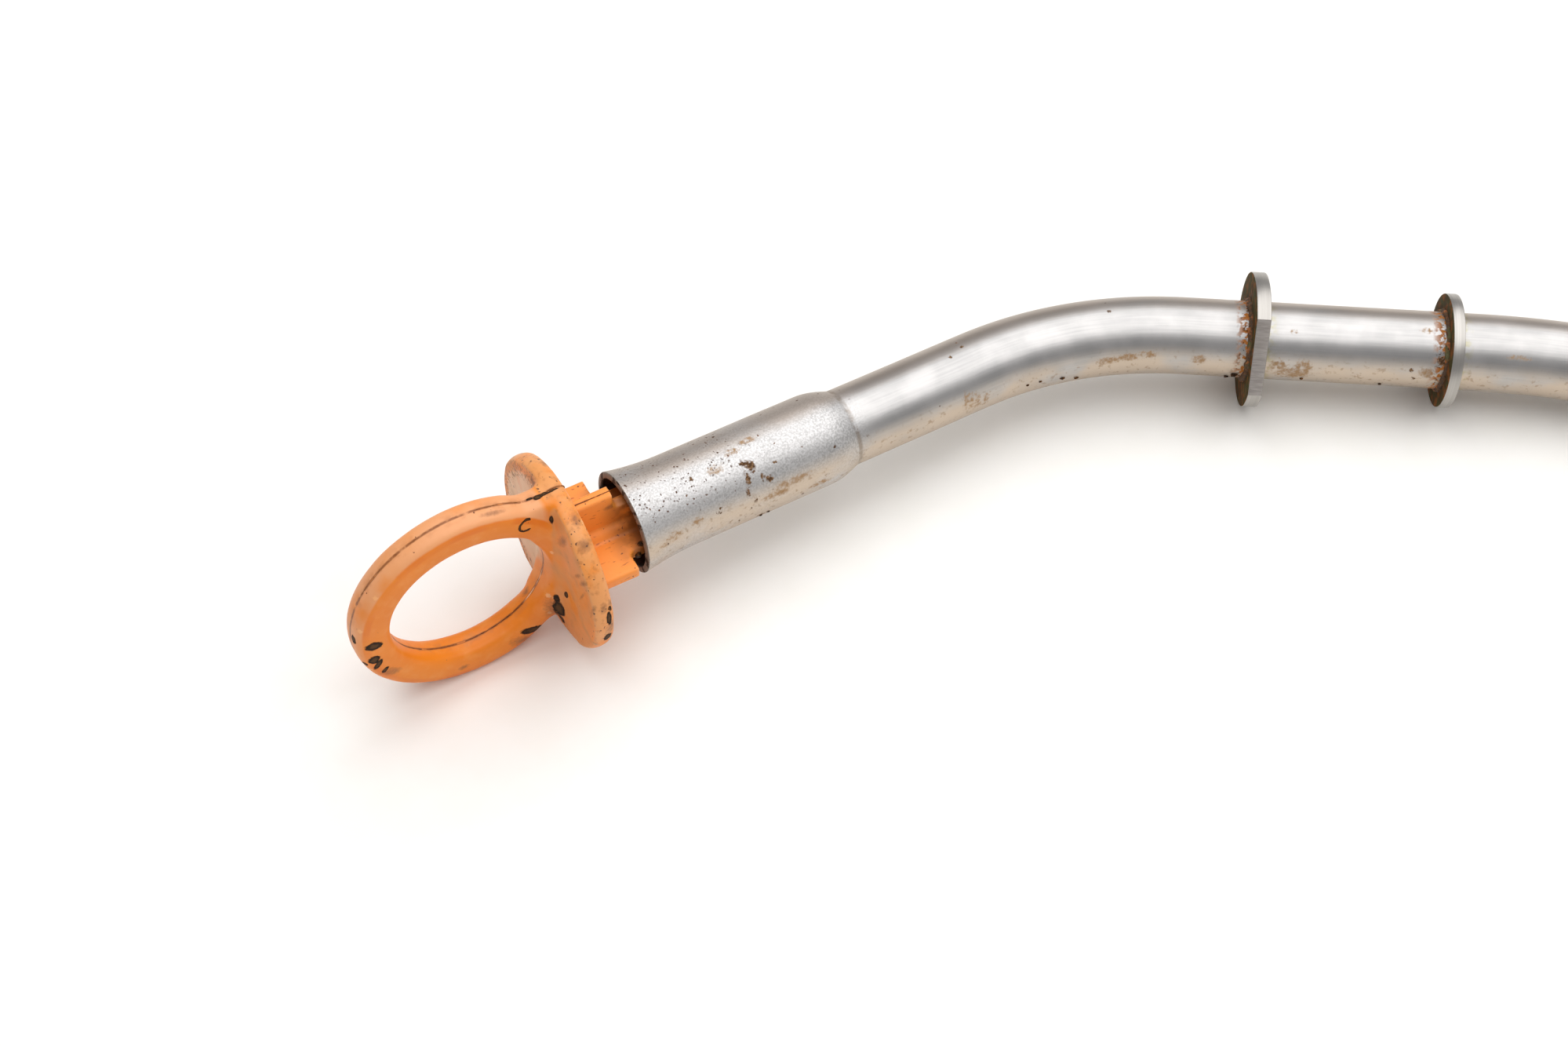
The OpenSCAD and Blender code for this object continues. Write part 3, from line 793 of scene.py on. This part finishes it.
def drawn_steel():
    """Cold-drawn steel tube, its bell finely blasted: satin silver with faint lines along it, brown pits at
    the mouth, rust beside the collars, old oil below that is partly a painted warm reflection, a painted
    reflection on the upper side and painted shade in the neck's crease."""
    made, tree, shader = material("drawn_steel")
    straight = add(tree, "ShaderNodeAttribute", attribute_name="straight")
    at = millimetres(tree, place=straight.outputs["Vector"])
    shake = add(tree, "ShaderNodeTexNoise", {"Vector": at, "Scale": 2.6, "Detail": 6.0}).outputs["Fac"]
    along = add(tree, "ShaderNodeSeparateXYZ", {0: at}).outputs[0]
    under = add(tree, "ShaderNodeVectorMath", {0: at, 1: (0, -0.5, -0.87)}, operation="DOT_PRODUCT")
    above = add(tree, "ShaderNodeVectorMath", {0: at, 1: (0, -0.1, 1)}, operation="DOT_PRODUCT")
    bell = between(tree, along, -5, 36, 4)
    below = between(tree, under.outputs["Value"], 2.4, 30, 2.8)
    pit_zone = between(tree, above.outputs["Value"], 5.6, 30, 1.2, between(tree, along, -1, 15, 8))
    before_collars = levels(tree, between(tree, along, 104.0, 105.4, HALO_REACH),
                            (between(tree, along, 134.1, 135.5, HALO_REACH), 1.0))
    after_collars = levels(tree, between(tree, along, 107.0, 107.9, HALO_REACH),
                           (between(tree, along, 136.8, 137.7, HALO_REACH), 1.0))
    lines = blotches(tree, at, 0.3, 0.3, 0.7, stretch=(30, 1, 1))
    # A warm beige coat on the underside: partly old oil, partly a painted reflection of a warm floor.
    oil_film_and_reflection = blotches(tree, at, 5, 0.2, 0.6, 0.85, below, (2, 1, 1))
    smears = blotches(tree, at, 0.7, 0.3, 0.62, 0.85, drawn_marks(tree, "smear", shake, 0.0, 0.5, 1.0, 1.6))
    scattered = ragged(tree, at, 0.3, 0.5)
    # A dark patchy line in the neck's crease: painted shade.
    neck_crease_shade = between(tree, along, 36.7, 37.1, 0.35)
    rust = blotches(tree, at, 0.7, 0.45, 0.56, 0.95, before_collars)
    stains = drawn_marks(tree, "stain", shake, 0.08, 0.45, 1.0, 1.4)
    pits = specks(tree, scattered, 0.4, 0.42, 0.6, blotches(tree, at, 2.5, 0.38, 0.52, 1.0, pit_zone))
    # A warm brownish tint on the tube's upper side: a painted reflection of what lies behind.
    painted_top_reflection = between(tree, add(tree, "ShaderNodeVectorMath", {0: at, 1: (0, 0.75, 0.66)},
                                operation="DOT_PRODUCT").outputs["Value"], 5.2, 30, 1.5)

    colour = coats(tree, "#B1AFAD",
                   (lines, "#A8A6A5"),
                   (blotches(tree, at, 6, 0.35, 0.7, 0.5), "#C6C3C1"),
                   (blotches(tree, at, 0.28, 0.35, 0.65, within=bell), "#CBC9C8"),
                   (blotches(tree, at, 5, 0.1, 0.5, 0.6, painted_top_reflection, (3, 1, 1)), "#B9A797"),
                   (oil_film_and_reflection, "#C9B7A3"),
                   (blotches(tree, at, 0.8, 0.56, 0.72, 0.5, below), "#8E7254"),
                   (blotches(tree, at, 1.5, 0.3, 0.6, 0.6, neck_crease_shade), "#857462"),
                   (blotches(tree, at, 1.2, 0.45, 0.6, 0.5, after_collars), "#A8A06C"),
                   (smears, "#A27E54"),
                   (rust, "#B06A22"),
                   (blotches(tree, at, 0.6, 0.58, 0.68, 0.9, before_collars), "#4A3018"),
                   (specks(tree, scattered, 1.2, 0.55, 0.6, bell), "#6E5546"),
                   (specks(tree, scattered, 3.2, 0.5, 0.4), "#6E5546"),
                   (pits, "#5A3F30"),
                   (stains, "#7C5E42"),
                   (blotches(tree, at, 0.4, 0.46, 0.56, 0.85, stains), "#4A3424"))
    dirt = levels(tree, 0.0, (smears, 0.8), (rust, 1.0), (pits, 0.9), (stains, 1.0))
    metallic = add(tree, "ShaderNodeMath", {0: 1.0, 1: dirt}, operation="SUBTRACT").outputs[0]
    roughness = levels(tree, 0.38, (lines, 0.41), (bell, 0.5), (oil_film_and_reflection, 0.44), (dirt, 0.75))
    height = levels(tree, 0.5, (lines, 0.55), (blotches(tree, at, 0.3, 0.35, 0.65, within=bell), 0.66),
                    (pits, 0.0))
    finished(tree, shader, height, 0.6, 0.06 * MM, base_color=colour, metallic=metallic, roughness=roughness,
             specular_ior_level=levels(tree, 0.5, (dirt, 0.08)))
    return made


def oily_bore():
    """The bore of the tube, unblasted and wetted by old oil: dark brown with a dull gloss."""
    made, tree, shader = material("oily_bore")
    at = millimetres(tree)
    wet = blotches(tree, at, 2.5, 0.35, 0.65)
    colour = coats(tree, "#43342A", (wet, "#241A10"), (specks(tree, at, 1.2, 0.5, 0.4), "#140E09"))
    shader.inputs["Metallic"].default_value = 0.4
    finished(tree, shader, wet, 0.4, 0.08 * MM, base_color=colour, roughness=levels(tree, 0.55, (wet, 0.3)))
    return made


def cut_steel():
    """The sawn and deburred rim of the mouth: brownish grey, with tool marks and caked specks."""
    made, tree, shader = material("cut_steel")
    at = millimetres(tree, MOUTH)
    caked = blotches(tree, at, 1.4, 0.5, 0.62)
    marks_of_saw = blotches(tree, at, 0.25, 0.3, 0.7, stretch=(1, 1, 12))
    colour = coats(tree, "#837C72", (marks_of_saw, "#6E675E"), (caked, "#33291F"))
    shader.inputs["Specular IOR Level"].default_value = 0.3
    finished(tree, shader, marks_of_saw, 0.4, 0.04 * MM, base_color=colour,
             roughness=levels(tree, 0.6, (caked, 0.8)))
    return made


def turned_steel():
    """Collars turned from bar: bright rims with fine tool lines, a duller milled flat, and faces that have
    gone rust brown beside the braze."""
    made, tree, shader = material("turned_steel")
    at = millimetres(tree, MID, (0, 0, -BEND_1_A))
    x, y, z = add(tree, "ShaderNodeSeparateXYZ", {0: at}).outputs
    across = add(tree, "ShaderNodeVectorMath", {0: at, 1: (0, 1, 1)}, operation="MULTIPLY")
    radius = add(tree, "ShaderNodeVectorMath", {0: across.outputs[0]}, operation="LENGTH").outputs["Value"]
    turning = add(tree, "ShaderNodeCombineXYZ", {0: x, 1: radius, 2: 0.0}).outputs[0]
    normal = add(tree, "ShaderNodeTexCoord").outputs["Normal"]
    facing = add(tree, "ShaderNodeVectorMath", {0: normal, 1: tuple(heading(BEND_1_A))},
                 operation="DOT_PRODUCT").outputs["Value"]
    flat_facing = add(tree, "ShaderNodeVectorMath", {0: normal, 1: KEY_FLAT_NORMAL},
                      operation="DOT_PRODUCT").outputs["Value"]

    side = add(tree, "ShaderNodeMath", {0: facing, 1: 0.0}, operation="ABSOLUTE").outputs[0]
    face = between(tree, side, 0.75, 2, 0.2)
    left_face = between(tree, facing, -2, -0.75, 0.2)
    flat = between(tree, flat_facing, 0.97, 2, 0.02, between(tree, x, 9, 13, 0.2))
    lines = blotches(tree, turning, 0.16, 0.3, 0.7)
    tool_marks = blotches(tree, at, 0.3, 0.35, 0.65, within=flat, stretch=(8, 1, 1))
    rust = blotches(tree, at, 2.4, 0.1, 0.4, 1.0, left_face)
    orange_rust = blotches(tree, at, 1.6, 0.45, 0.65, 0.8, left_face)
    olive = blotches(tree, at, 2.6, 0.45, 0.6, 0.8, left_face)
    edge_dirt = blotches(tree, at, 1.0, 0.5, 0.6, 0.6, face)
    nicks = specks(tree, ragged(tree, at, 0.5, 0.5), 1.8, 0.3, 0.3)

    colour = coats(tree, "#B0ACA7", (lines, "#A5A19C"), (flat, "#BCB5B0"), (tool_marks, "#A8A09B"),
                   (face, "#97897A"), (edge_dirt, "#5B4A38"), (rust, "#4A3A24"), (olive, "#4A4A2C"),
                   (orange_rust, "#845028"), (nicks, "#6A5848"))
    dirt = levels(tree, 0.0, (edge_dirt, 0.7), (rust, 1.0), (nicks, 0.8))
    metallic = add(tree, "ShaderNodeMath", {0: 1.0, 1: dirt}, operation="SUBTRACT").outputs[0]
    roughness = levels(tree, 0.34, (lines, 0.4), (flat, 0.45), (dirt, 0.8))
    height = levels(tree, 0.5, (lines, 0.6), (tool_marks, 0.4), (dirt, 0.7))
    finished(tree, shader, height, 0.5, 0.04 * MM, base_color=colour, metallic=metallic, roughness=roughness,
             specular_ior_level=levels(tree, 0.5, (dirt, 0.08)))
    return made


def rusty_braze():
    """Brazing filler gone to rust: granular dark brown with orange grains and some olive flux."""
    made, tree, shader = material("rusty_braze")
    at = millimetres(tree)
    grains = blotches(tree, at, 0.45, 0.42, 0.62)
    colour = coats(tree, "#4E3826", (grains, "#6A4A2E"), (blotches(tree, at, 2.4, 0.52, 0.62), "#5F5A36"),
                   (blotches(tree, at, 1.3, 0.55, 0.65), "#A2602E"),
                   (specks(tree, at, 0.9, 0.5, 0.3), "#2A1B10"))
    finished(tree, shader, grains, 0.8, 0.12 * MM, base_color=colour,
             roughness=levels(tree, 0.7, (grains, 0.9)))
    return made


def caked_grime():
    """Oil and dust baked into lumps: near black, dull, with a few greasy glints."""
    made, tree, shader = material("caked_grime")
    at = millimetres(tree)
    dusty = blotches(tree, at, 0.5, 0.45, 0.65)
    colour = coats(tree, "#33200E", (dusty, "#6A4420"), (specks(tree, at, 0.7, 0.5, 0.5), "#A06834"))
    shader.inputs["Specular IOR Level"].default_value = 0.2
    finished(tree, shader, dusty, 0.7, 0.1 * MM, base_color=colour,
             roughness=levels(tree, 0.55, (dusty, 0.85)))
    return made


def nitrile_rubber():
    """Moulded nitrile rubber: matt black, greyed by dust, with a fine skin."""
    made, tree, shader = material("nitrile_rubber")
    at = millimetres(tree)
    bloom = blotches(tree, at, 2, 0.4, 0.7, 0.6)
    skin = blotches(tree, at, 0.25, 0.3, 0.7)
    colour = coats(tree, "#1C1C1D", (bloom, "#35332F"))
    finished(tree, shader, skin, 0.4, 0.03 * MM, base_color=colour, roughness=levels(tree, 0.5, (bloom, 0.8)))
    return made


def spring_steel():
    """Rolled and hardened spring strip: grey with rolling lines and straw-brown oil along it."""
    made, tree, shader = material("spring_steel")
    at = millimetres(tree)
    lines = blotches(tree, at, 0.3, 0.3, 0.7, stretch=(14, 3, 1))
    oil = blotches(tree, at, 5, 0.42, 0.65, 0.7)
    colour = coats(tree, "#A5A29D", (lines, "#8E8B86"), (oil, "#8A6F4C"))
    shader.inputs["Metallic"].default_value = 1.0
    finished(tree, shader, lines, 0.4, 0.03 * MM, base_color=colour, roughness=levels(tree, 0.3, (oil, 0.22)))
    return made


def matt_paper():
    """Studio paper: white and matt, with the faintest mottling."""
    made, tree, shader = material("matt_paper")
    at = millimetres(tree)
    mottle = blotches(tree, at, 8, 0.3, 0.7)
    finished(tree, shader, mottle, 0.05, 0.05 * MM, base_color=coats(tree, "#F7F5F1", (mottle, "#F5F3EE")),
             roughness=levels(tree, 0.9, (mottle, 0.95)))
    return made


def dress(piece, body, slot, *materials):
    """Gives the piece its body and, unless it has them already, its materials. The slot is not used."""
    if materials:
        piece.data.materials.clear()
    for made in materials:
        piece.data.materials.append(made)
    if body:
        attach(piece, body)


# The guide side
def make_guide_side():
    tube = guide_tube()
    for name, places in TUBE_MARKS.items():
        remember_marks(tube, name, [tube_mark(*place) for place in places])
    dress(tube, "guide", "tube_steel")
    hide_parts("guide_tube")
    turned, braze_rust = turned_steel(), rusty_braze()
    for node, along, thickness in (("keyed_collar", COLLAR_AT, 0.75 * MM),
                                   ("plain_collar", STOP_AT, 0.65 * MM)):
        piece = collar(node, f"{node}_turned")
        dress(piece, "guide", "collar_steel", turned)
        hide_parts(node)
        dress(braze(f"{node}_braze", along, thickness), "guide", "collar_steel", braze_rust)
    lumps = [(67.4, -176, 0.2), (69.8, -175, 0.22), (74.0, -169, 0.3), (76.7, -161, 0.25),
             (102.3, -149, 0.3), (103.4, -158, 0.45), (113.8, -159, 0.25), (125.9, -155, 0.25),
             (19.4, -154, 0.18), (20.6, -156, 0.2)]  # Along the tube, angle and size
    places = [(on_tube(s * MM, angle, BELL_R if s < 30 else TUBE_R), Vector((1.6, 1, 1)) * size * MM)
              for s, angle, size in lumps]
    dress(crumbs("caked_grime_below", places, 0.6 * MM), "guide", "tube_steel", caked_grime())
    dress(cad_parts["seat_seal_ring"], None, None, nitrile_rubber())


# The dipstick side
def make_dipstick_side():
    moulding = handle_moulding()
    for name, places in HANDLE_MARKS.items():
        remember_marks(moulding, name, places)
    dress(moulding, "dipstick", "orange_plastic", moulded_polyamide())
    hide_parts("handle")
    dress(parting_flash(), "dipstick", "orange_plastic", packed_dirt())
    lumps = [((-9.7, -14.4, 3.2), (0.4, 0.35, 0.7)), ((-13.0, -3.3, -8.8), (0.35, 0.4, 1.1)),
             ((-0.6, -5.8, -0.5), (0.6, 0.5, 0.7)), ((0.2, -5.2, 0.8), (0.7, 0.5, 0.6))]
    places = [(from_handle(*(Vector(middle) * MM)), Vector(halves) * MM) for middle, halves in lumps]
    dress(crumbs("caked_grime_handle", places, 0.7 * MM), "dipstick", "orange_plastic", caked_grime())
    steel = spring_steel()
    dress(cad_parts["plug_seal_ring"], None, None, nitrile_rubber())
    dress(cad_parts["dipstick_blade"], None, None, steel)
    dress(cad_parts["blade_pin"], None, None, steel)


make_guide_side()
make_dipstick_side()

# Camera, lights and floor
CAMERA_AT = Vector((-305.19, -41.16, 267.58)) * MM
CAMERA_AIM = Vector((-195.28, 144.14, 0)) * MM
CAMERA_ROLL = math.radians(0.855)
FOCAL_PIXELS = 3000
IMAGE_WIDTH = 1999
SENSOR = 36
FLOOR_SIZE = 12
SOFTBOX_AWAY, SOFTBOX_SIZE, SOFTBOX_POWER = 2.0, 3.3, 69
SKY_STRENGTH = 0.5


def turned_towards(start, aim, roll=0.0):
    look = (aim - start).to_track_quat("-Z", "Y").to_matrix().to_4x4()
    return Matrix.Translation(start) @ look @ Matrix.Rotation(roll, 4, "Z")


def add_camera():
    camera = bpy.data.objects.new("camera", bpy.data.cameras.new("camera"))
    camera.data.sensor_width = SENSOR
    camera.data.lens = SENSOR * FOCAL_PIXELS / IMAGE_WIDTH
    camera.data.clip_start = 10 * MM
    camera.data.clip_end = 20
    camera.matrix_world = turned_towards(CAMERA_AT, CAMERA_AIM, CAMERA_ROLL)
    bpy.context.scene.collection.objects.link(camera)
    bpy.context.scene.camera = camera
    return camera


def add_softbox(towards):
    """A square white softbox that looks at the bell from the direction towards."""
    lamp = bpy.data.lights.new("key", "AREA")
    lamp.shape, lamp.size, lamp.energy = "SQUARE", SOFTBOX_SIZE, SOFTBOX_POWER
    softbox = bpy.data.objects.new("key", lamp)
    softbox.matrix_world = turned_towards(BEND_1 + towards.normalized() * SOFTBOX_AWAY, BEND_1)
    bpy.context.scene.collection.objects.link(softbox)


def resting_plane():
    """A point of the floor and its normal: it touches the finger ring, the keyed collar and the bead."""
    ring = Vector((MOUTH.x + RING_AT, MOUTH.y, cad_box[0].z))
    collar_at = MID + heading(BEND_1_A) * (COLLAR_AT + COLLAR_T / 2)
    keyed = Vector((collar_at.x, collar_at.y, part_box("keyed_collar")[0].z))
    bead_at = END + heading(END_TURN) * (BEAD_AT + BEAD_W / 2)
    bead = Vector((bead_at.x, bead_at.y, -BEAD_R))
    normal = (keyed - ring).cross(bead - ring).normalized()
    return ring, normal if normal.z > 0 else -normal


def add_floor():
    """A plain floor. The part lies in its own frame, so the floor is what leans by a few degrees."""
    deselect()
    point, normal = resting_plane()
    bpy.ops.mesh.primitive_plane_add(size=FLOOR_SIZE, location=point,
                                     rotation=normal.to_track_quat("Z", "Y").to_euler())
    floor = placed("floor")
    dress(floor, None, None, matt_paper())


def add_world():
    world = bpy.data.worlds.new("studio")
    world.use_nodes = True
    sky = world.node_tree.nodes["Background"]
    sky.inputs["Color"].default_value = linear("#DCDCDE")
    sky.inputs["Strength"].default_value = SKY_STRENGTH
    bpy.context.scene.world = world


camera = add_camera()
view = camera.matrix_world.to_3x3()
right, up, back = view.col[0], view.col[1], view.col[2]
add_softbox(up * 0.68 + back * 0.72 + right * 0.22)
add_floor()
add_world()
bpy.context.scene.view_settings.view_transform = "Standard"
